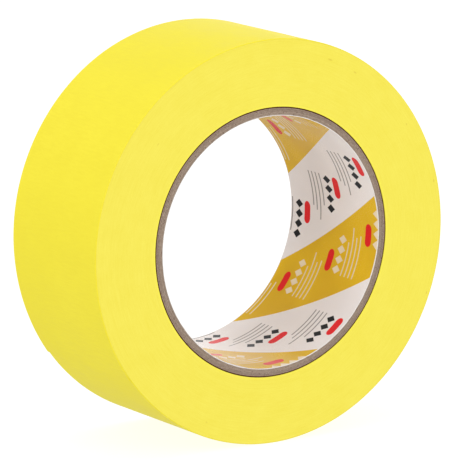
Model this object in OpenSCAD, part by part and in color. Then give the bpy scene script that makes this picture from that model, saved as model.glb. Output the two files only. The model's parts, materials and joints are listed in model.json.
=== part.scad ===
// Roll of masking tape on a spiral-wound cardboard core.
// The roll's axis is Y and the origin is the centre of the core's bore. +Z is up: the roll stands on its rim.
// Angles around the roll run from +X towards +Z. The tape winds on in that direction, out to its free end.

/* [Tape] */
// Width of the tape
tape_w = 48; // [12:1:100]
// Thickness of the creped paper backing
backing_t = 0.085; // [0.06:0.005:0.2]
// Thickness of the adhesive under the backing
adhesive_t = 0.035; // [0.02:0.005:0.08]
// Length of tape on the core, in metres
tape_length = 55; // [10:1:66]

/* [Core] */
// Diameter of the core's bore
bore_d = 76.5; // [25:0.5:155]
// How far the core stands out of each side of the tape
core_proud = 0; // [-0.5:0.1:2]
// Thickness of the printed paper liner in the bore
liner_t = 0.12; // [0.08:0.01:0.3]
// Thickness of one chipboard ply
ply_t = 0.58; // [0.3:0.01:1]
// Thickness of the brown kraft ply around the core
kraft_t = 0.2; // [0.1:0.01:0.4]

/* [Free end] */
// Where the tape ends, around the roll
end_angle = 216; // [0:1:359]
// Length of the free end, from where it peels off to its tip
tail_length = 28; // [10:1:60]
// How far the tip has sprung off the roll
tip_lift = 0.35; // [0.1:0.05:1]
// Clearance between the free end and the roll
peel_gap = 0.05; // [0.02:0.01:0.1]

/* [Hidden] */
$fn = 96;

PLIES = 4;
core_w = tape_w + 2 * core_proud;
ply_1_r = bore_d / 2 + liner_t;
kraft_r = ply_1_r + PLIES * ply_t;
core_r = kraft_r + kraft_t;

// The tape fills the ring between the core and the roll's rim, so its length sets the roll's radius at the tip.
tape_t = backing_t + adhesive_t;
roll_r = sqrt(pow(core_r, 2) + tape_length * 1000 * tape_t / PI);

// A turn of the spiral gains one thickness of tape. It is two half turns, each a circle whose centre is off the axis.
centre_shift = tape_t / 4;
first_half_r = roll_r - tape_t + centre_shift;
second_half_r = roll_r - centre_shift;

// The free end is an arc a little flatter than the roll, tangent to it where the tape peels off.
tail_sweep = degrees_of(tail_length, second_half_r);
tail_r = 1 / (1 / second_half_r - 2 * tip_lift / pow(tail_length, 2));
gap_sweep = degrees_of(peel_gap, second_half_r);

function degrees_of(arc, r) = arc / r * 180 / PI;

// Lays out what it holds, drawn about +Z, around the roll's axis.
module about_axis() {
    rotate([90, 0, 0]) children();
}

// The same, with the tape's free end at angle 0.
module from_tape_end() {
    about_axis() rotate([0, 0, end_angle]) children();
}

// Tube about +Z that is centred on the origin.
module tube(r_inner, thickness, width) {
    rotate_extrude() translate([r_inner, -width / 2]) square([thickness, width]);
}

// Stretch of tape about +Z, with its outer face at r_outer.
module tape_arc(r_outer, thickness, start, sweep) {
    rotate([0, 0, start])
        rotate_extrude(angle = sweep)
            translate([r_outer - thickness, -tape_w / 2]) square([thickness, tape_w]);
}

// Half of a disc, above the X axis for side = 1 and below it for side = -1.
module half_disc(r, centre_x, side) {
    intersection() {
        translate([centre_x, 0]) circle(r);
        translate([-2 * r, side > 0 ? 0 : -2 * r]) square([4 * r, 2 * r]);
    }
}

// Layer of the roll's last turn, from under the tip to where the free end peels off.
// depth is how far the layer's outer face lies under the tape's face.
module last_turn(depth, thickness) {
    translate([-centre_shift, 0, 0]) tape_arc(first_half_r - depth, thickness, 0, 180);
    translate([centre_shift, 0, 0])
        tape_arc(second_half_r - depth, thickness, 180, 180 - tail_sweep - gap_sweep);
}

// Layer of the free end, at the same depth under the tape's face.
module tail_layer(depth, thickness) {
    translate([centre_shift, 0, 0])
        rotate([0, 0, -tail_sweep])
            translate([second_half_r + peel_gap - tail_r, 0, 0])
                tape_arc(tail_r - depth, thickness, 0, degrees_of(tail_length, tail_r));
}

module core_liner() {
    color([0.93, 0.9, 0.88]) about_axis() tube(bore_d / 2, liner_t, core_w);
}

module core_ply(number) {
    color([0.62, 0.54, 0.47]) about_axis() tube(ply_1_r + (number - 1) * ply_t, ply_t, core_w);
}

module core_kraft_ply() {
    color([0.45, 0.3, 0.2]) about_axis() tube(kraft_r, kraft_t, core_w);
}

// Every turn under the last one. Its outline is the last turn's, one thickness of tape further in.
module wound_tape() {
    color([0.98, 0.92, 0.38])
        from_tape_end()
            linear_extrude(tape_w, center = true)
                difference() {
                    union() {
                        half_disc(first_half_r - tape_t, -centre_shift, 1);
                        half_disc(second_half_r - tape_t, centre_shift, -1);
                    }
                    circle(core_r);
                }
}

module outer_wrap() {
    color([0.96, 0.9, 0.29]) from_tape_end() last_turn(0, backing_t);
}

module outer_wrap_adhesive() {
    color([0.93, 0.86, 0.45]) from_tape_end() last_turn(backing_t, adhesive_t);
}

module tape_end() {
    color([0.96, 0.9, 0.29]) from_tape_end() tail_layer(0, backing_t);
}

module tape_end_adhesive() {
    color([0.93, 0.86, 0.45]) from_tape_end() tail_layer(backing_t, adhesive_t);
}

core_liner();
for (number = [1:PLIES])
    core_ply(number);
core_kraft_ply();
wound_tape();
outer_wrap();
outer_wrap_adhesive();
tape_end();
tape_end_adhesive();
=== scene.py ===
"""Looks of a roll of yellow masking tape on a spiral-wound cardboard core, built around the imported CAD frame.

The roll's axis is Y and +Z is up. Angles around the roll run from +X towards +Z, the way the tape winds on.
The roll's lengths are millimetres, and meshes are scaled to metres as they are made. The floor, the lights
and the camera are placed in metres.
"""

import json
import math

import bmesh
import bpy
import numpy as np
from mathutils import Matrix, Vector


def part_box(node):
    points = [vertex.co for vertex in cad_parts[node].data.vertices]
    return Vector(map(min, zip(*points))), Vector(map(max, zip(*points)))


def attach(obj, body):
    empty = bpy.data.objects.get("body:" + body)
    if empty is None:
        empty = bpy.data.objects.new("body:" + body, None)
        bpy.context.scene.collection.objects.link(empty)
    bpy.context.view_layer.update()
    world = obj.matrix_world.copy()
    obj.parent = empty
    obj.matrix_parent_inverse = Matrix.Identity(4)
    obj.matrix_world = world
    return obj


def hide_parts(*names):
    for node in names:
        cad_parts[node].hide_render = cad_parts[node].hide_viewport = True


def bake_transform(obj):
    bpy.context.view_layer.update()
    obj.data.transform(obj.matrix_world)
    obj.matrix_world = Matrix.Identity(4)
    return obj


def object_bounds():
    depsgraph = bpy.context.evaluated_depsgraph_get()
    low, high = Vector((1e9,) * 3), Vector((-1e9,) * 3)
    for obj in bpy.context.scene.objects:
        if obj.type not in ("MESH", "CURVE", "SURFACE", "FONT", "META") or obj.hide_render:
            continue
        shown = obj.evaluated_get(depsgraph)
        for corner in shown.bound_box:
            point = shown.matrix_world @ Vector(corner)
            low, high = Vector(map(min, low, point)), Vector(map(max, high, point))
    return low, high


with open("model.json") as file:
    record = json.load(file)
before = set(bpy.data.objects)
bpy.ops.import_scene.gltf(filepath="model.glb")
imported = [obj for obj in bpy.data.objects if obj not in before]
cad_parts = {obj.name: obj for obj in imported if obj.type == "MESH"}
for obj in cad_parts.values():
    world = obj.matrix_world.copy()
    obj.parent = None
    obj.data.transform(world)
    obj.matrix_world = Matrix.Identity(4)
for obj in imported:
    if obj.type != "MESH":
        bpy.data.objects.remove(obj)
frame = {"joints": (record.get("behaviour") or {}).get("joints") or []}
cad_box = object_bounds()

# ---------------------------------------------------------------- sizes
# The tape's two layers, the liner in the bore, and where on the roll the tape ends, as in the CAD model.
BACKING = 0.085
ADHESIVE = 0.035
LINER_T = 0.12
END_ANGLE = 216.0
# How far the free end's tip has sprung off the roll, and the gap just past the peel line.
TIP_LIFT = 0.17
PEEL_GAP = 0.03
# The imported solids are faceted, so the tape's face keeps this far inside its true radius.
SINK = 0.05
# Rounding of the roll's rim, and how far each strip's own cut edge stays inside the roll's width.
RIM_RADIUS = 0.2
EDGE_INSET = 0.012


def outer_radius(node):
    """Half of a node's box along X, as the frame gives it."""
    lo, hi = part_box(node)
    return (hi.x - lo.x) * 500


def half_width(node):
    """Half of a node's box along Y, as the frame gives it."""
    lo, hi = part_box(node)
    return (hi.y - lo.y) * 500


HALF_W = half_width("wound_tape")
LINER_R = outer_radius("core_liner")
PLY_R = [LINER_R] + [outer_radius(f"core_ply_{k}") for k in (1, 2, 3, 4)]
CORE_R = outer_radius("core_kraft_ply")
BORE_R = LINER_R - LINER_T
TAPE_T = BACKING + ADHESIVE
SHIFT = TAPE_T / 4

# The last turn is two half rings, whose centres lie SHIFT either side of the axis. The peel line is the
# joint's own line, and the roll's radius follows from it.
hinge = np.array(frame["joints"][0]["pos_m"]) * 1000
turned = math.radians(-END_ANGLE)
hinge_x = hinge[0] * math.cos(turned) - hinge[2] * math.sin(turned)
hinge_z = hinge[0] * math.sin(turned) + hinge[2] * math.cos(turned)
SECOND_R = math.hypot(hinge_x - SHIFT, hinge_z)
ROLL_R = SECOND_R + SHIFT
FIRST_R = ROLL_R - TAPE_T + SHIFT
TAIL_SWEEP = math.degrees(-math.atan2(hinge_z, hinge_x - SHIFT))
PEEL_TURN = 360 - TAIL_SWEEP
TAIL_LENGTH = math.radians(TAIL_SWEEP) * SECOND_R

# Every random draw comes from here, so each run gives the same roll.
rng = np.random.default_rng(20)


# ---------------------------------------------------------------- relief
def smooth(t):
    return t * t * (3 - 2 * t)


def ramp(x, a, b):
    return smooth(np.clip((x - a) / (b - a), 0, 1))


class Relief:
    """Smooth random height from -1 to 1 over a plane, with its own cell size along each side.

    round_u joins the end of the first side to its start.
    """

    def __init__(self, u0, u1, cell_u, v0, v1, cell_v, round_u=False):
        self.u0, self.v0 = u0, v0
        self.nu, self.nv = max(2, round((u1 - u0) / cell_u)), max(2, round((v1 - v0) / cell_v))
        self.du, self.dv = (u1 - u0) / self.nu, (v1 - v0) / self.nv
        self.grid = rng.uniform(-1, 1, (self.nu + 2, self.nv + 2))
        if round_u:
            self.grid[self.nu] = self.grid[0]
            self.grid[self.nu + 1] = self.grid[1]

    def __call__(self, u, v):
        a = np.clip((np.asarray(u, float) - self.u0) / self.du, 0, self.nu - 1e-6)
        b = np.clip((np.asarray(v, float) - self.v0) / self.dv, 0, self.nv - 1e-6)
        i, j = a.astype(int), b.astype(int)
        a, b = smooth(a - i), smooth(b - j)
        g = self.grid
        near = g[i, j] * (1 - a) * (1 - b) + g[i + 1, j] * a * (1 - b)
        return near + g[i, j + 1] * (1 - a) * b + g[i + 1, j + 1] * a * b


# The stretch of tape that relief covers, from the start of the last turn, and a little over half its width.
RELIEF_FROM, RELIEF_TO, RELIEF_HALF_W = -70, 440, 26
# The creped backing: ridges across the tape, broader swells, and how hard each stretch was wound. Each row is
# a bump's length along the tape, its width across it, and its height.
CREPE = [
    (Relief(RELIEF_FROM, RELIEF_TO, along, -RELIEF_HALF_W, RELIEF_HALF_W, across), amount)
    for along, across, amount in ((0.85, 4.5, 0.010), (1.9, 9, 0.010), (11, 13, 0.016), (60, 24, 0.03))
]


def tape_drop(s, y):
    """How far the tape's face lies under its true radius, at s along the tape and y across it."""
    drop = sum(amount * (1 - relief(s, y)) / 2 for relief, amount in CREPE)
    return SINK + drop + rim_drop(y)


def rim_drop(y):
    """Rounding of the roll's rim, where the outer turns' cut edges settle."""
    inside = np.clip(HALF_W - np.abs(y), 0, RIM_RADIUS)
    return RIM_RADIUS - np.sqrt(np.maximum(RIM_RADIUS**2 - (RIM_RADIUS - inside) ** 2, 0))


# How far out from the core the side faces' relief reaches.
SIDE_REACH = 24


def side_relief(*rows):
    """Relief of a side face. Each row is a bump's length in degrees, its width outwards, and its height."""
    return [(Relief(0, 360, around, 0, SIDE_REACH, out, True), amount) for around, out, amount in rows]


SIDE = side_relief((24, 5.5, 0.03), (17, 2.6, 0.008), (7, 0.7, 0.008))
SIDE_BACK = side_relief((30, 4.1, 0.04), (36, 1.3, 0.02), (14, 0.6, 0.012))


def side_drop(angle, r, reliefs):
    """How far a side face lies inside the tape's true edge, a few hundredths of a millimetre."""
    return sum(amount * (1 - relief(angle % 360, r - CORE_R)) / 2 for relief, amount in reliefs)


# ---------------------------------------------------------------- meshes
def point(r, angle, y):
    a = np.radians(angle)
    return np.stack(np.broadcast_arrays(r * np.cos(a), y, r * np.sin(a)), -1)


def turn_radius(turn, depth):
    """Radius of the last turn's face, depth under it, at an angle from 0 to 360 past the tape's end."""
    a = np.radians(turn)
    first = turn <= 180
    r = np.where(first, FIRST_R, SECOND_R) - depth
    c = np.where(first, -SHIFT, SHIFT)
    return c * np.cos(a) + np.sqrt(r**2 - (c * np.sin(a)) ** 2)


def solid(name, rings, closed, slots, material_of=None, coords=None, sharp=40, caps=None):
    """Closed mesh from rings of points, swept along the first axis of the array.

    material_of gives a slot for each strip between profile points. caps lists the end faces' points, for ends
    that aren't flat.
    """
    n, m = rings.shape[:2]
    index = np.arange(n * m).reshape(n, m)
    a = index if closed else index[:-1]
    b = np.roll(index, -1, 0) if closed else index[1:]
    faces = np.stack([a, b, np.roll(b, -1, 1), np.roll(a, -1, 1)], -1).reshape(-1, 4)
    mesh = bpy.data.meshes.new(name)
    quads = len(faces)
    loops = faces.ravel()
    starts = np.arange(quads) * 4
    if not closed:
        for cap in caps or [range(m)]:
            cap = list(cap)
            for face in (index[0][cap[::-1]], index[-1][cap]):
                starts = np.append(starts, len(loops))
                loops = np.concatenate([loops, face])
    mesh.vertices.add(n * m)
    mesh.vertices.foreach_set("co", (rings.reshape(-1, 3) / 1000).astype(np.float32).ravel())
    mesh.loops.add(len(loops))
    mesh.loops.foreach_set("vertex_index", loops.astype(np.int32))
    mesh.polygons.add(len(starts))
    mesh.polygons.foreach_set("loop_start", starts.astype(np.int32))
    if material_of is not None:
        strip = np.tile(np.asarray(material_of, np.int32), len(faces) // m)
        strip = np.concatenate([strip, np.full(len(starts) - quads, strip[0], np.int32)])
    mesh.update(calc_edges=True)
    for material in slots:
        mesh.materials.append(material)
    if material_of is not None:
        mesh.polygons.foreach_set("material_index", strip)
    if coords is not None:
        attribute = mesh.attributes.new("tape_mm", "FLOAT_VECTOR", "POINT")
        attribute.data.foreach_set("vector", coords.reshape(-1, 3).astype(np.float32).ravel())
    bm = bmesh.new()
    bm.from_mesh(mesh)
    bmesh.ops.recalc_face_normals(bm, faces=bm.faces)
    if bm.calc_volume(signed=True) < 0:
        bmesh.ops.reverse_faces(bm, faces=bm.faces)
    bm.to_mesh(mesh)
    bm.free()
    mesh.polygons.foreach_set("use_smooth", np.ones(len(mesh.polygons), bool))
    mesh.set_sharp_from_angle(angle=math.radians(sharp))
    mesh.update()
    piece = bpy.data.objects.new(name, mesh)
    bpy.context.scene.collection.objects.link(piece)
    return piece


def place(piece, body, node):
    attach(piece, body)
    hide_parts(node)
    return piece


# ---------------------------------------------------------------- material nodes
class Value:
    """A number in a node tree, which Python's own operators put together."""

    def __init__(self, tree, socket):
        self.tree, self.socket = tree, socket

    def math(self, operation, *others, clamp=False):
        node = self.tree.nodes.new("ShaderNodeMath")
        node.operation = operation
        node.use_clamp = clamp
        for i, other in enumerate((self, *others)):
            if isinstance(other, Value):
                self.tree.links.new(other.socket, node.inputs[i])
            else:
                node.inputs[i].default_value = other
        return Value(self.tree, node.outputs[0])

    def __add__(self, other):
        return self.math("ADD", other)

    def __sub__(self, other):
        return self.math("SUBTRACT", other)

    def __rsub__(self, other):
        return self.math("MULTIPLY", -1.0).math("ADD", other)

    def __mul__(self, other):
        return self.math("MULTIPLY", other)

    def __truediv__(self, other):
        return self.math("DIVIDE", other)

    def abs(self):
        return self.math("ABSOLUTE")

    def mod(self, other):
        return self.math("FLOORED_MODULO", other)

    def max(self, other):
        return self.math("MAXIMUM", other)

    def under(self, edge, soft):
        """1 below edge and 0 above it, over a width of soft."""
        return (edge - self).math("DIVIDE", soft).math("ADD", 0.5, clamp=True)

    def fit(self, low, high, to_low, to_high):
        node = self.tree.nodes.new("ShaderNodeMapRange")
        node.interpolation_type = "SMOOTHSTEP"
        self.tree.links.new(self.socket, node.inputs["Value"])
        for key, value in (("From Min", low), ("From Max", high), ("To Min", to_low), ("To Max", to_high)):
            node.inputs[key].default_value = value
        return Value(self.tree, node.outputs["Result"])


def linear(r, g, b):
    """Linear colour from 8-bit sRGB numbers."""

    def straighten(c):
        return c / 255 / 12.92 if c <= 10 else ((c / 255 + 0.055) / 1.055) ** 2.4

    return (straighten(r), straighten(g), straighten(b), 1.0)


class Material:
    def __init__(self, name, **sockets):
        self.material = bpy.data.materials.new(name)
        self.material.use_nodes = True
        self.tree = self.material.node_tree
        self.shader = next(n for n in self.tree.nodes if n.type == "BSDF_PRINCIPLED")
        for key, value in sockets.items():
            self.shader.inputs[key.replace("_", " ").title().replace("Ior", "IOR")].default_value = value
        self.bumps = None

    def place(self):
        """The point's own x, y and z in millimetres."""
        node = self.tree.nodes.new("ShaderNodeTexCoord")
        scale = self.tree.nodes.new("ShaderNodeVectorMath")
        scale.operation = "SCALE"
        scale.inputs["Scale"].default_value = 1000
        self.tree.links.new(node.outputs["Object"], scale.inputs[0])
        return self.split(scale.outputs[0])

    def attribute(self, name):
        node = self.tree.nodes.new("ShaderNodeAttribute")
        node.attribute_name = name
        return self.split(node.outputs["Vector"])

    def split(self, socket):
        node = self.tree.nodes.new("ShaderNodeSeparateXYZ")
        self.tree.links.new(socket, node.inputs[0])
        return [Value(self.tree, o) for o in node.outputs]

    def noise(self, vector, detail, roughness, distortion=0.0):
        """Noise from 0 to 1 over three values, which are already divided by its grain."""
        join = self.tree.nodes.new("ShaderNodeCombineXYZ")
        for i, v in enumerate(vector):
            if isinstance(v, Value):
                self.tree.links.new(v.socket, join.inputs[i])
            else:
                join.inputs[i].default_value = v
        node = self.tree.nodes.new("ShaderNodeTexNoise")
        node.inputs["Scale"].default_value = 1.0
        node.inputs["Detail"].default_value = detail
        node.inputs["Roughness"].default_value = roughness
        node.inputs["Distortion"].default_value = distortion
        self.tree.links.new(join.outputs[0], node.inputs["Vector"])
        return Value(self.tree, node.outputs["Fac"])

    def mix(self, factor, a, b):
        node = self.tree.nodes.new("ShaderNodeMix")
        node.data_type = "RGBA"
        self.tree.links.new(factor.socket, node.inputs[0])
        for i, colour in ((6, a), (7, b)):
            if isinstance(colour, tuple):
                node.inputs[i].default_value = colour
            else:
                self.tree.links.new(colour, node.inputs[i])
        return node.outputs[2]

    def set(self, name, value):
        self.tree.links.new(value.socket if isinstance(value, Value) else value, self.shader.inputs[name])

    def bump(self, height, distance_mm, strength=1.0):
        """Adds one layer of bump, whose height of 1 stands distance_mm off the surface."""
        node = self.tree.nodes.new("ShaderNodeBump")
        node.inputs["Strength"].default_value = strength
        node.inputs["Distance"].default_value = distance_mm / 1000
        self.tree.links.new(height.socket, node.inputs["Height"])
        if self.bumps is not None:
            self.tree.links.new(self.bumps, node.inputs["Normal"])
        self.bumps = node.outputs["Normal"]
        self.tree.links.new(self.bumps, self.shader.inputs["Normal"])


def backing_material():
    """Creped, saturated paper: ridges across the tape, a satin face, and faint differences of colour."""
    m = Material("creped_yellow_paper", specular_ior_level=0.13)
    s, y, _ = m.attribute("tape_mm")
    ridges = m.noise([s / 0.62, y / 5.0, 0.0], 2.0, 0.55, 0.35)
    fine = m.noise([s / 0.26, y / 1.1, 4.0], 2.0, 0.6)
    broad = m.noise([s / 9, y / 16, 8.0], 2.0, 0.5)
    cloud = m.noise([s / 60, y / 45, 12.0], 3.0, 0.5)
    tone = ridges * 0.45 + fine * 0.25 + broad * 0.3
    colour = m.mix(tone.fit(0.25, 0.75, 0, 1), linear(238, 222, 50), linear(246, 232, 64))
    colour = m.mix(cloud.fit(0.35, 0.7, 0, 0.5), colour, linear(240, 225, 52))
    m.set("Base Color", colour)
    m.set("Roughness", (ridges * 0.5 + broad * 0.5).fit(0.2, 0.8, 0.46, 0.62))
    m.bump(ridges, 0.055, 0.8)
    m.bump(fine, 0.02, 0.7)
    return m.material


# Nicks in the side face: angle in degrees, distance from the axis, length along the turns and strength of the
# painted shade in the nick.
NICKS = [
    (69.0, 57.2, 1.6, 0.34),
    (58.9, 57.0, 1.1, 0.34),
    (33.0, 57.6, 0.8, 0.25),
    (12.5, 59.9, 1.0, 0.3),
    (-21.0, 60.1, 0.8, 0.3),
    (140.0, 52.0, 0.9, 0.2),
    (246.0, 57.0, 0.8, 0.2),
]
NICK_HALF_DEPTH = 0.22


def edge_material():
    """The cut edges of all the turns, side by side: fine winding lines, clouds, specks and a few nicks."""
    m = Material("slit_tape_edges", specular_ior_level=0.25)
    x, y, z = m.place()
    r = (x * x + z * z).math("SQRT")
    angle = z.math("ARCTAN2", x)
    turns = (r - CORE_R) / TAPE_T
    # Each winding keeps its own shade as it goes round, so the value runs on along the spiral.
    around = angle / (2 * math.pi) + 0.5
    along = (turns - around).math("FLOOR") + around
    winding = m.noise([along * 2.3, 0.0, 0.0], 1.0, 0.5)
    dashes = m.noise([turns / 1.6, angle * 9.0, 0.0], 3.0, 0.6)
    group = m.noise([turns / 4.0, x / 16, z / 16], 2.0, 0.6)
    cloud = m.noise([x / 7, 5.0, z / 7], 3.0, 0.6)
    grain = m.noise([x / 0.35, y / 0.35, z / 0.35], 2.0, 0.6)
    specks = m.noise([x / 1.1, 3.0, z / 1.1], 3.0, 0.65)
    tone = winding * 0.1 + dashes * 0.35 + group * 0.15 + grain * 0.2 + cloud * 0.2
    colour = m.mix(tone.fit(0.3, 0.7, 0, 1), linear(240, 224, 72), linear(248, 235, 92))
    colour = m.mix(specks.fit(0.71, 0.8, 0, 0.4), colour, linear(214, 180, 48))
    colour = m.mix((r - CORE_R).under(0.6, 0.6) * 0.5, colour, linear(252, 241, 78))
    # Small nicks, where the slitting knife or a knock has torn a few turns. The mesh has no dent there: each
    # nick is a darker, deeper yellow streak, painted shade for the dent.
    for at, out, long, shade_strength in NICKS:
        c, n = math.cos(math.radians(at)), math.sin(math.radians(at))
        outward = (x * c + z * n - out) / NICK_HALF_DEPTH
        sideways = (z * c - x * n) / (long / 2)
        reach = (outward * outward + sideways * sideways).math("SQRT")
        nick_shade = (reach + (grain - 0.5) * 0.8).under(1.0, 0.7)
        # Painted shade: the nick's streak is mixed towards a darker yellow.
        colour = m.mix(nick_shade * shade_strength, colour, linear(196, 158, 26))
    m.set("Base Color", colour)
    m.set("Roughness", grain.fit(0.2, 0.8, 0.5, 0.68))
    m.bump(dashes, 0.02, 0.4)
    m.bump(grain, 0.02, 0.5)
    return m.material


def adhesive_material():
    """Rubbery adhesive over the paper: glossy, a little uneven, with dull spots where it has touched dust."""
    m = Material("tacky_adhesive", specular_ior_level=0.5, ior=1.5)
    s, y, _ = m.attribute("tape_mm")
    pull = m.noise([s / 1.1, y / 3.2, 2.0], 3.0, 0.6, 0.4)
    dust = m.noise([s / 0.7, y / 0.7, 9.0], 3.0, 0.7)
    m.set("Base Color", m.mix(pull.fit(0.3, 0.7, 0, 1), linear(231, 211, 92), linear(238, 219, 103)))
    m.set("Roughness", (pull * 0.6 + dust * 0.4).fit(0.3, 0.7, 0.24, 0.4))
    m.bump(pull, 0.03, 0.5)
    m.bump(dust, 0.012, 0.4)
    return m.material


def board_material(name, dark, light, fleck, shift, gap_shade_band=False):
    """Recycled board at its cut edge: fibres that run round the core, pale and dark flecks, and a matt cut.

    shift moves the pattern, so that no two plies look alike.
    """
    m = Material(name, specular_ior_level=0.15)
    x, y, z = m.place()
    r = (x * x + z * z).math("SQRT")
    angle = z.math("ARCTAN2", x)
    fibre = m.noise([r / 0.11, angle * 26, y / 0.5 + shift], 3.0, 0.65)
    pulp = m.noise([x / 0.5, y / 0.5, z / 0.5 + shift], 3.0, 0.6)
    patch = m.noise([x / 14, y / 14 + shift, z / 14], 2.0, 0.5)
    flecks = m.noise([x / 0.42, y / 0.42 + 7 + shift, z / 0.42], 2.0, 0.7)
    colour = m.mix((fibre * 0.6 + pulp * 0.4).fit(0.3, 0.7, 0, 1), dark, light)
    colour = m.mix(patch.fit(0.35, 0.7, 0, 0.4), colour, dark)
    colour = m.mix(flecks.fit(0.62, 0.7, 0, 0.75), colour, fleck)
    knots = m.noise([x / 0.6, y / 0.6 + 31 + shift, z / 0.6], 2.0, 0.7)
    colour = m.mix(knots.fit(0.6, 0.7, 0, 0.8), colour, linear(84, 60, 46))
    if gap_shade_band:
        # Painted shade: the board's outermost tenth of a millimetre is darkened to a dark red-brown, for the
        # shade in the gap at the kraft wrap.
        colour = m.mix((PLY_R[4] - r).under(0.13, 0.06), colour, linear(66, 12, 5))
    m.set("Base Color", colour)
    m.set("Roughness", pulp.fit(0.2, 0.8, 0.8, 0.97))
    m.bump(fibre, 0.05, 0.8)
    m.bump(pulp, 0.04, 0.7)
    return m.material


# The liner's print, on the unrolled liner. Its bands lean round the bore by BAND_LEAN for each millimetre
# across it, and four and a half pairs of them go round.
BAND_LEAN = 0.594
BANDS_ROUND = 4.5
BAND_PITCH = 2 * math.pi * BORE_R / BANDS_ROUND
OCHRE_W = 0.4785 * BAND_PITCH
OCHRE_FROM = -0.5446 * BAND_PITCH
SEAM = math.radians(195.5) * BORE_R
# Each band repeats a block of shapes: a pill, a row of lozenges and four rules, given by height and length.
BLOCK = 17.8
PILL_HALF_LENGTH, PILL_HALF_HEIGHT = 3.5, 1.6
LOZENGES, LOZENGE_PITCH, LOZENGE_HALF_HEIGHT = 4, 3.15, 2.05
RULE_HALF_HEIGHT = 0.27
RULES_ON_OCHRE = ((7.25, 10.6), (5.2, 15.4), (3.2, 12.6), (1.2, 13.4))
RULES_ON_WHITE = ((11.0, 10.6), (13.0, 15.4), (15.0, 12.6), (16.85, 11.4))


def liner_material():
    """Glossy paper printed with leaning ochre bands on white, and plain shapes on each band."""
    m = Material("printed_liner_paper", specular_ior_level=0.14, ior=1.45)
    s, y, p = m.attribute("tape_mm")
    grain = m.noise([s / 0.5, y / 0.5, 0.0], 3.0, 0.6)
    wash = m.noise([s / 22, y / 22, 5.0], 2.0, 0.5)
    spread = (grain - 0.5) * 0.12

    def block(start, y_start):
        """Place across a band, and within its block sideways and upwards, on the bands that start there."""
        q = (p - start).mod(BAND_PITCH)
        up = (y - y_start).mod(BLOCK)
        return q, q - up * BAND_LEAN, up

    def pill(across, up, cx, cy):
        dx = (across - cx).abs().math("SUBTRACT", PILL_HALF_LENGTH - PILL_HALF_HEIGHT).max(0.0)
        dy = up - cy
        return ((dx * dx + dy * dy).math("SQRT") + spread).under(PILL_HALF_HEIGHT, 0.12)

    def lozenges(across, up, cx, cy):
        half_row = LOZENGES * LOZENGE_PITCH / 2
        x = ((across - (cx - half_row)).mod(LOZENGE_PITCH) - LOZENGE_PITCH / 2).abs() / (LOZENGE_PITCH * 0.44)
        shape = (x + (up - cy).abs() / LOZENGE_HALF_HEIGHT + spread).under(1.0, 0.09)
        return shape * (across - cx).abs().under(half_row, 0.05)

    def rules(across, up, edge, side, rows):
        """Rules that start at edge and run to one side of it."""
        found = None
        for cy, length in rows:
            along = (across - (edge + side * length / 2)).abs().under(length / 2, 0.1)
            row = ((up - cy).abs() + spread).under(RULE_HALF_HEIGHT, 0.12) * along
            found = row if found is None else found.max(row)
        return found

    q, across, up = block(OCHRE_FROM, -16.1)
    rough_q = q + spread
    band = rough_q.under(OCHRE_W, 0.1) * rough_q.math("MULTIPLY", -1.0).under(0.0, 0.1)
    ochre = band.max(q.under(OCHRE_W, 0.1))
    red_on_ochre = pill(across, up, 6.2, 15.2) * ochre
    pale_rules = rules(across, up, 2.45, 1, RULES_ON_OCHRE)
    pale_on_ochre = lozenges(across, up, 8.7, 10.5).max(pale_rules) * ochre

    _, across, up = block(OCHRE_FROM + OCHRE_W, -5.56)
    plain = 1 - ochre
    red_on_white = pill(across, up, 9.9, 2.7) * plain
    black_on_white = lozenges(across, up, 7.3, 7.2) * plain
    grey_on_white = rules(across, up, 13.6, -1, RULES_ON_WHITE) * plain

    white = m.mix(wash.fit(0.3, 0.7, 0, 1), linear(236, 232, 232), linear(243, 239, 239))
    yellow = m.mix(wash.fit(0.3, 0.7, 0, 1), linear(220, 176, 10), linear(232, 190, 16))
    colour = m.mix(ochre, white, yellow)
    colour = m.mix(pale_on_ochre * 0.85, colour, linear(240, 228, 205))
    colour = m.mix(red_on_ochre, colour, linear(228, 14, 8))
    colour = m.mix(grey_on_white * 0.7, colour, linear(62, 55, 55))
    colour = m.mix(black_on_white, colour, linear(11, 9, 10))
    colour = m.mix(red_on_white, colour, linear(230, 16, 20))
    margin = y.abs().math("MULTIPLY", -1.0).under(-(HALF_W - 0.3), 0.12)
    colour = m.mix(margin, colour, linear(238, 234, 230))
    m.set("Base Color", colour)
    m.set("Roughness", (grain * 0.5 + wash * 0.5).fit(0.25, 0.75, 0.2, 0.3))
    m.bump(m.noise([s / 4.0, y / 7.0, 3.0], 2.0, 0.5), 0.04, 0.25)
    return m.material


backing = backing_material()
edges = edge_material()
adhesive = adhesive_material()
liner = liner_material()


# ---------------------------------------------------------------- core
# The plies of board from the bore outwards: how far the cut lies inside the tape's edge, the angle of the
# strip's seam, and the board's dark and light colour.
PLIES = (
    (0.07, 63, (134, 114, 98), (178, 160, 144)),
    (0.085, 151, (142, 122, 107), (176, 157, 140)),
    (0.075, 247, (128, 109, 95), (172, 153, 137)),
    (0.09, 318, (136, 115, 100), (170, 150, 134)),
)
PALE_FLECK = linear(208, 194, 176)
KRAFT_DEPTH, KRAFT_SEAM = 0.22, 118
# The cut's own roughness, half of the hair's gap between two plies, and the depth of a seam's notch.
CUT_ROUGHNESS = 0.025
PLY_GAP = 0.012
NOTCH = 0.12


def core_face(angle, r, depth, relief):
    return depth + CUT_ROUGHNESS * (1 - relief(angle % 360, r)) / 2


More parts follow.
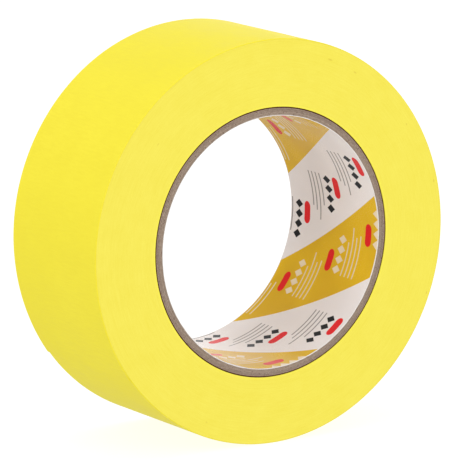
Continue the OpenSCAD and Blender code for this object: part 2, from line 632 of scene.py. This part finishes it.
def core_tube(name, r_inner, r_outer, depth, node, material, seam):
    """One ply: a tube with soft corners, rough ends, and a notch in each end where its strip's edges meet."""
    angle = np.linspace(0, 360, 1080, endpoint=False)
    inner = r_inner + PLY_GAP
    outer = r_outer - PLY_GAP
    wall = outer - inner
    c = min(0.035, wall / 5)
    front = Relief(0, 360, 0.9, 36, 42, 0.22, True)
    back = Relief(0, 360, 0.9, 36, 42, 0.22, True)
    middle = np.linspace(inner + c, outer - c, 7)
    radii = np.concatenate([[inner, inner + c * 0.4], middle, [outer - c * 0.4, outer]])
    ends = np.concatenate([[c, c * 0.3], np.zeros(7), [c * 0.3, c]])
    profile = []
    for side, relief in ((-1, front), (1, back)):
        order = slice(None) if side < 0 else slice(None, None, -1)
        for r, e in zip(radii[order], ends[order]):
            near = np.abs((angle - seam * side + 180) % 360 - 180) * math.radians(1) * r
            notch = NOTCH * (1 - ramp(near, 0.05, 0.28))
            y = side * (HALF_W - core_face(angle, r, depth, relief) - e - notch)
            profile.append(point(r, angle, y))
    rings = np.stack(profile, 1)
    piece = solid(name, rings, True, [material], sharp=60)
    return place(piece, "roll", node)


for k, (depth, seam, dark, light) in enumerate(PLIES):
    number = k + 1
    outermost = number == len(PLIES)
    board = board_material(
        f"chipboard_{number}", linear(*dark), linear(*light), PALE_FLECK, 11.0 * k, gap_shade_band=outermost
    )
    core_tube(
        f"core_board_{number}", PLY_R[k], PLY_R[number], depth, f"core_ply_{number}", board, seam
    )
# The kraft's red-brown is darkened well past the paper's own colour: partly its own colour, partly painted
# shade for the gap between the core and the tape.
kraft = board_material("kraft_board_and_gap_shade", linear(66, 9, 3), linear(94, 19, 8), linear(112, 40, 20), 61.0)
core_tube(
    "core_kraft_wrap", PLY_R[4], CORE_R, KRAFT_DEPTH, "core_kraft_ply", kraft, KRAFT_SEAM
)


def make_liner():
    """The printed strip, wound round in a helix. Its two edges meet in a leaning seam with a hair's gap."""
    gap = 0.16
    half_arc = 82
    p = np.linspace(SEAM - 2 * math.pi * BORE_R + gap / 2, SEAM - gap / 2, 560)
    lift = 0.05 * (1 - ramp(p - p[0], 0, 1.6)) + 0.05 * (1 - ramp(p[-1] - p, 0, 1.6))
    wave = Relief(p[0], p[-1], 9, -RELIEF_HALF_W, RELIEF_HALF_W, 12)
    lip = [Relief(p[0], p[-1], 1.3, -RELIEF_HALF_W, RELIEF_HALF_W, 30) for _ in (0, 1)]
    # The points across the liner lie closer together towards its edges.
    y_in = HALF_W * np.sin(np.radians(np.linspace(-half_arc, half_arc, 46)))
    y_in = y_in / math.sin(math.radians(half_arc)) * (HALF_W - 0.07) / HALF_W
    # Each point's place across, how far it lies outside the bore, and which of the two edges it is on or 0.
    profile = [(y, 0.0, 0) for y in y_in]
    profile += [(HALF_W - 0.02, 0.02, 1), (HALF_W, 0.07, 1), (HALF_W, 0.19, 1), (HALF_W - 0.05, 0.2, 1)]
    profile += [(y, 0.112, 0) for y in y_in[::-1]]
    profile += [(-HALF_W + 0.05, 0.2, 2), (-HALF_W, 0.19, 2), (-HALF_W, 0.07, 2), (-HALF_W + 0.02, 0.02, 2)]
    rings, coords = [], []
    for y, out, side in profile:
        s = p - BAND_LEAN * y
        r = BORE_R + out
        if out == 0.0:
            r = r + 0.03 * (1 + wave(p, y)) / 2 - lift
        elif side:
            r = r + (0.03 * lip[side - 1](p, 0) if out > 0.1 else 0)
        y_at = y + (0 if not side else -np.sign(y) * 0.02 * (1 - lip[side - 1](p, 0)) / 2)
        rings.append(point(r, np.degrees(s / BORE_R), y_at))
        coords.append(np.stack(np.broadcast_arrays(s, y, p), -1))
    last = len(y_in) - 1
    far = 2 * last + 5
    caps = [(i, i + 1, far - i - 1, far - i) for i in range(last)]
    caps += [range(last, last + 6), (0, *range(far, far + 5))]
    rings, coords = np.stack(rings, 1), np.stack(coords, 1)
    piece = solid("printed_liner", rings, False, [liner], coords=coords, sharp=50, caps=caps)
    return place(piece, "roll", "core_liner")


make_liner()


# ---------------------------------------------------------------- wound tape
# The first turn stays this far off the core, and the turns this far under the last one.
CORE_CLEARANCE = 0.03
TURN_CLEARANCE = 0.004


def make_pack():
    """All the turns under the last one. The outer face shows where the free end is lifted."""
    turn = np.concatenate([np.linspace(0, 359.6, 719), [359.97]])
    angle = turn + END_ANGLE
    r_out = turn_radius(turn, TAPE_T + TURN_CLEARANCE)
    s = np.radians(np.where(turn > 180, turn - 360, turn)) * ROLL_R
    share = np.linspace(0, 1, 50)
    rim = np.array([0.996, 0.998, 0.9995, 1])
    y_out = np.concatenate([-rim[::-1], np.linspace(-0.992, 0.992, 18), rim]) * HALF_W
    inner = CORE_R + CORE_CLEARANCE
    profile, strips, coords = [], [], []

    def add(points, strip, y):
        profile.append(points)
        strips.append(strip)
        coords.append(np.stack(np.broadcast_arrays(s, y, 0.0), -1))

    outer = r_out - tape_drop(s, HALF_W)
    for f in share:
        r = inner + (outer - inner) * f
        add(point(r, angle, -(HALF_W - side_drop(angle, r, SIDE))), 0, -HALF_W)
    for y in y_out[1:-1]:
        add(point(r_out - tape_drop(s, y), angle, y), 1, y)
    for f in share[::-1]:
        r = inner + (outer - inner) * f
        add(point(r, angle, HALF_W - side_drop(angle, r, SIDE_BACK)), 0, HALF_W)
    rings, coords = np.stack(profile, 1), np.stack(coords, 1)
    piece = solid("wound_turns", rings, True, [edges, backing], strips, coords, sharp=50)
    return place(piece, "roll", "wound_tape")


make_pack()

# Points across a stretch of tape: close together at the rim for the face, and few for the hidden underside.
RIM = HALF_W - np.array([0.2, 0.12, 0.06, 0.02, 0])
Y_FACE = np.concatenate([-RIM[::-1], np.linspace(-HALF_W + 0.5, HALF_W - 0.5, 56), RIM])
Y_UNDER = np.array([HALF_W, HALF_W - 0.12, HALF_W - 0.3, 8, -8, -HALF_W + 0.3, -HALF_W + 0.12, -HALF_W])
Y_COARSE = np.linspace(-HALF_W, HALF_W, 9)


def tape_layer(name, angle, face_r, s, depth, thickness, material, y_face, y_under):
    """A layer of tape that starts at a depth under the tape's face."""
    inside = HALF_W - EDGE_INSET
    profile, coords = [], []
    for across, under in ((y_face, depth), (y_under, depth + thickness)):
        for y in across:
            profile.append(point(face_r - under - tape_drop(s, y), angle, np.clip(y, -inside, inside)))
            coords.append(np.stack(np.broadcast_arrays(s, y, under), -1))
    return solid(name, np.stack(profile, 1), False, [material], coords=np.stack(coords, 1), sharp=50)


def make_last_turn():
    """The last turn, from its start under the free end round to the peel line."""

    def layer(name, steps, depth, thickness, material, y_face, y_under):
        turn = np.linspace(0, PEEL_TURN, steps)
        s = np.radians(turn) * ROLL_R
        return tape_layer(
            name, turn + END_ANGLE, turn_radius(turn, 0), s, depth, thickness, material, y_face, y_under
        )

    wrap = layer("outer_turn", 1120, 0, BACKING, backing, Y_FACE, Y_UNDER)
    place(wrap, "roll", "outer_wrap")
    under = layer("outer_turn_adhesive", 700, BACKING, ADHESIVE, adhesive, Y_COARSE, Y_UNDER[[0, 3, 4, 7]])
    place(under, "roll", "outer_wrap_adhesive")


def make_free_end():
    """The free end. Its tip has sprung off the roll a little, and it curls as it peels."""
    along = np.linspace(0, TAIL_LENGTH, 150)
    turn = PEEL_TURN + np.degrees(along / SECOND_R)
    s = math.radians(PEEL_TURN) * ROLL_R + along
    lift = PEEL_GAP * ramp(along, 0, 7) + TIP_LIFT * (along / TAIL_LENGTH) ** 2
    tail_r = turn_radius(np.minimum(turn, 360), 0) + lift
    angle = turn + END_ANGLE
    back = Y_FACE[::-1]
    tip = tape_layer("free_end_tape", angle, tail_r, s, 0, BACKING, backing, Y_FACE, back)
    glue = tape_layer("free_end_adhesive", angle, tail_r, s, BACKING, ADHESIVE, adhesive, Y_FACE, back)
    for piece, node, slot in ((tip, "tape_end", "tape_backing"), (glue, "tape_end_adhesive", "adhesive")):
        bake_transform(piece)
        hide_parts(node)


make_last_turn()
make_free_end()

# ---------------------------------------------------------------- floor, light and camera
FLOOR_HALF = 6.0
FLOOR_GLOW = 0.82
ROOM_LIGHT = 0.77
FOCAL_LENGTH = 364.7
CAMERA_AWAY = 1.4084
# Degrees the camera stands round to the left of the roll's axis, and above it.
CAMERA_ROUND, CAMERA_ABOVE = -32.49, 11.0
# The camera is moved this far across and up in its own frame, so that the roll isn't dead centre.
FRAMING = Vector((0.00029, -0.0001, 0))


def make_floor():
    """A white table, lit from inside to stay white. It neither lights the roll nor shows in its gloss."""
    mesh = bpy.data.meshes.new("floor")
    corners = ((-1, -1), (1, -1), (1, 1), (-1, 1))
    mesh.from_pydata([(FLOOR_HALF * x, FLOOR_HALF * y, 0) for x, y in corners], [], [(0, 1, 2, 3)])
    floor = bpy.data.objects.new("floor", mesh)
    floor.location.z = cad_box[0].z
    bpy.context.scene.collection.objects.link(floor)
    paper = Material("white_floor", roughness=0.9, specular_ior_level=0.1)
    x, y, _ = paper.place()
    cloud = paper.noise([x / 400, y / 400, 0.0], 2.0, 0.5)
    paper.set("Base Color", paper.mix(cloud, linear(143, 143, 143), linear(147, 147, 147)))
    paper.shader.inputs["Emission Color"].default_value = (1, 1, 1, 1)
    paper.shader.inputs["Emission Strength"].default_value = FLOOR_GLOW
    mesh.materials.append(paper.material)
    floor.visible_diffuse = floor.visible_glossy = False


def make_room():
    """A white room, which is brighter to the camera than it is as a light."""
    world = bpy.data.worlds.new("studio")
    world.use_nodes = True
    tree = world.node_tree
    ambient = tree.nodes["Background"]
    backdrop = tree.nodes.new("ShaderNodeBackground")
    for node, strength in ((ambient, ROOM_LIGHT), (backdrop, 1.0)):
        node.inputs["Color"].default_value = (1, 1, 1, 1)
        node.inputs["Strength"].default_value = strength
    rays = tree.nodes.new("ShaderNodeLightPath")
    either = tree.nodes.new("ShaderNodeMixShader")
    tree.links.new(rays.outputs["Is Camera Ray"], either.inputs[0])
    tree.links.new(ambient.outputs[0], either.inputs[1])
    tree.links.new(backdrop.outputs[0], either.inputs[2])
    tree.links.new(either.outputs[0], tree.nodes["World Output"].inputs["Surface"])
    bpy.context.scene.world = world


def softbox(name, place_at, size, watts):
    """A round area light that faces the roll."""
    lamp = bpy.data.lights.new(name, "AREA")
    lamp.shape = "DISK"
    lamp.size = size
    lamp.energy = watts
    item = bpy.data.objects.new(name, lamp)
    item.location = place_at
    item.rotation_euler = (-Vector(place_at)).to_track_quat("-Z", "Y").to_euler()
    bpy.context.scene.collection.objects.link(item)


def make_camera():
    data = bpy.data.cameras.new("camera")
    data.lens = FOCAL_LENGTH
    data.sensor_width = 36
    data.clip_start, data.clip_end = 0.05, 30
    camera = bpy.data.objects.new("camera", data)
    azimuth, elevation = math.radians(CAMERA_ROUND), math.radians(CAMERA_ABOVE)
    level = math.cos(elevation)
    away = Vector((math.sin(azimuth) * level, -math.cos(azimuth) * level, math.sin(elevation)))
    aim = (-away).to_track_quat("-Z", "Y")
    camera.location = away * CAMERA_AWAY + aim @ FRAMING
    camera.rotation_euler = aim.to_euler()
    bpy.context.scene.collection.objects.link(camera)
    bpy.context.scene.camera = camera
    bpy.context.scene.view_settings.view_transform = "Standard"


make_floor()
make_room()
softbox("overhead", (-0.2, 0.35, 1.6), 1.4, 5.4)
softbox("front", (0.3, -1.5, 0.6), 1.3, 7.3)
softbox("low_left", (-1.4, -0.35, -0.02), 1.0, 8.6)
softbox("back_right", (1.2, 1.3, 0.5), 1.3, 3.0)
make_camera()
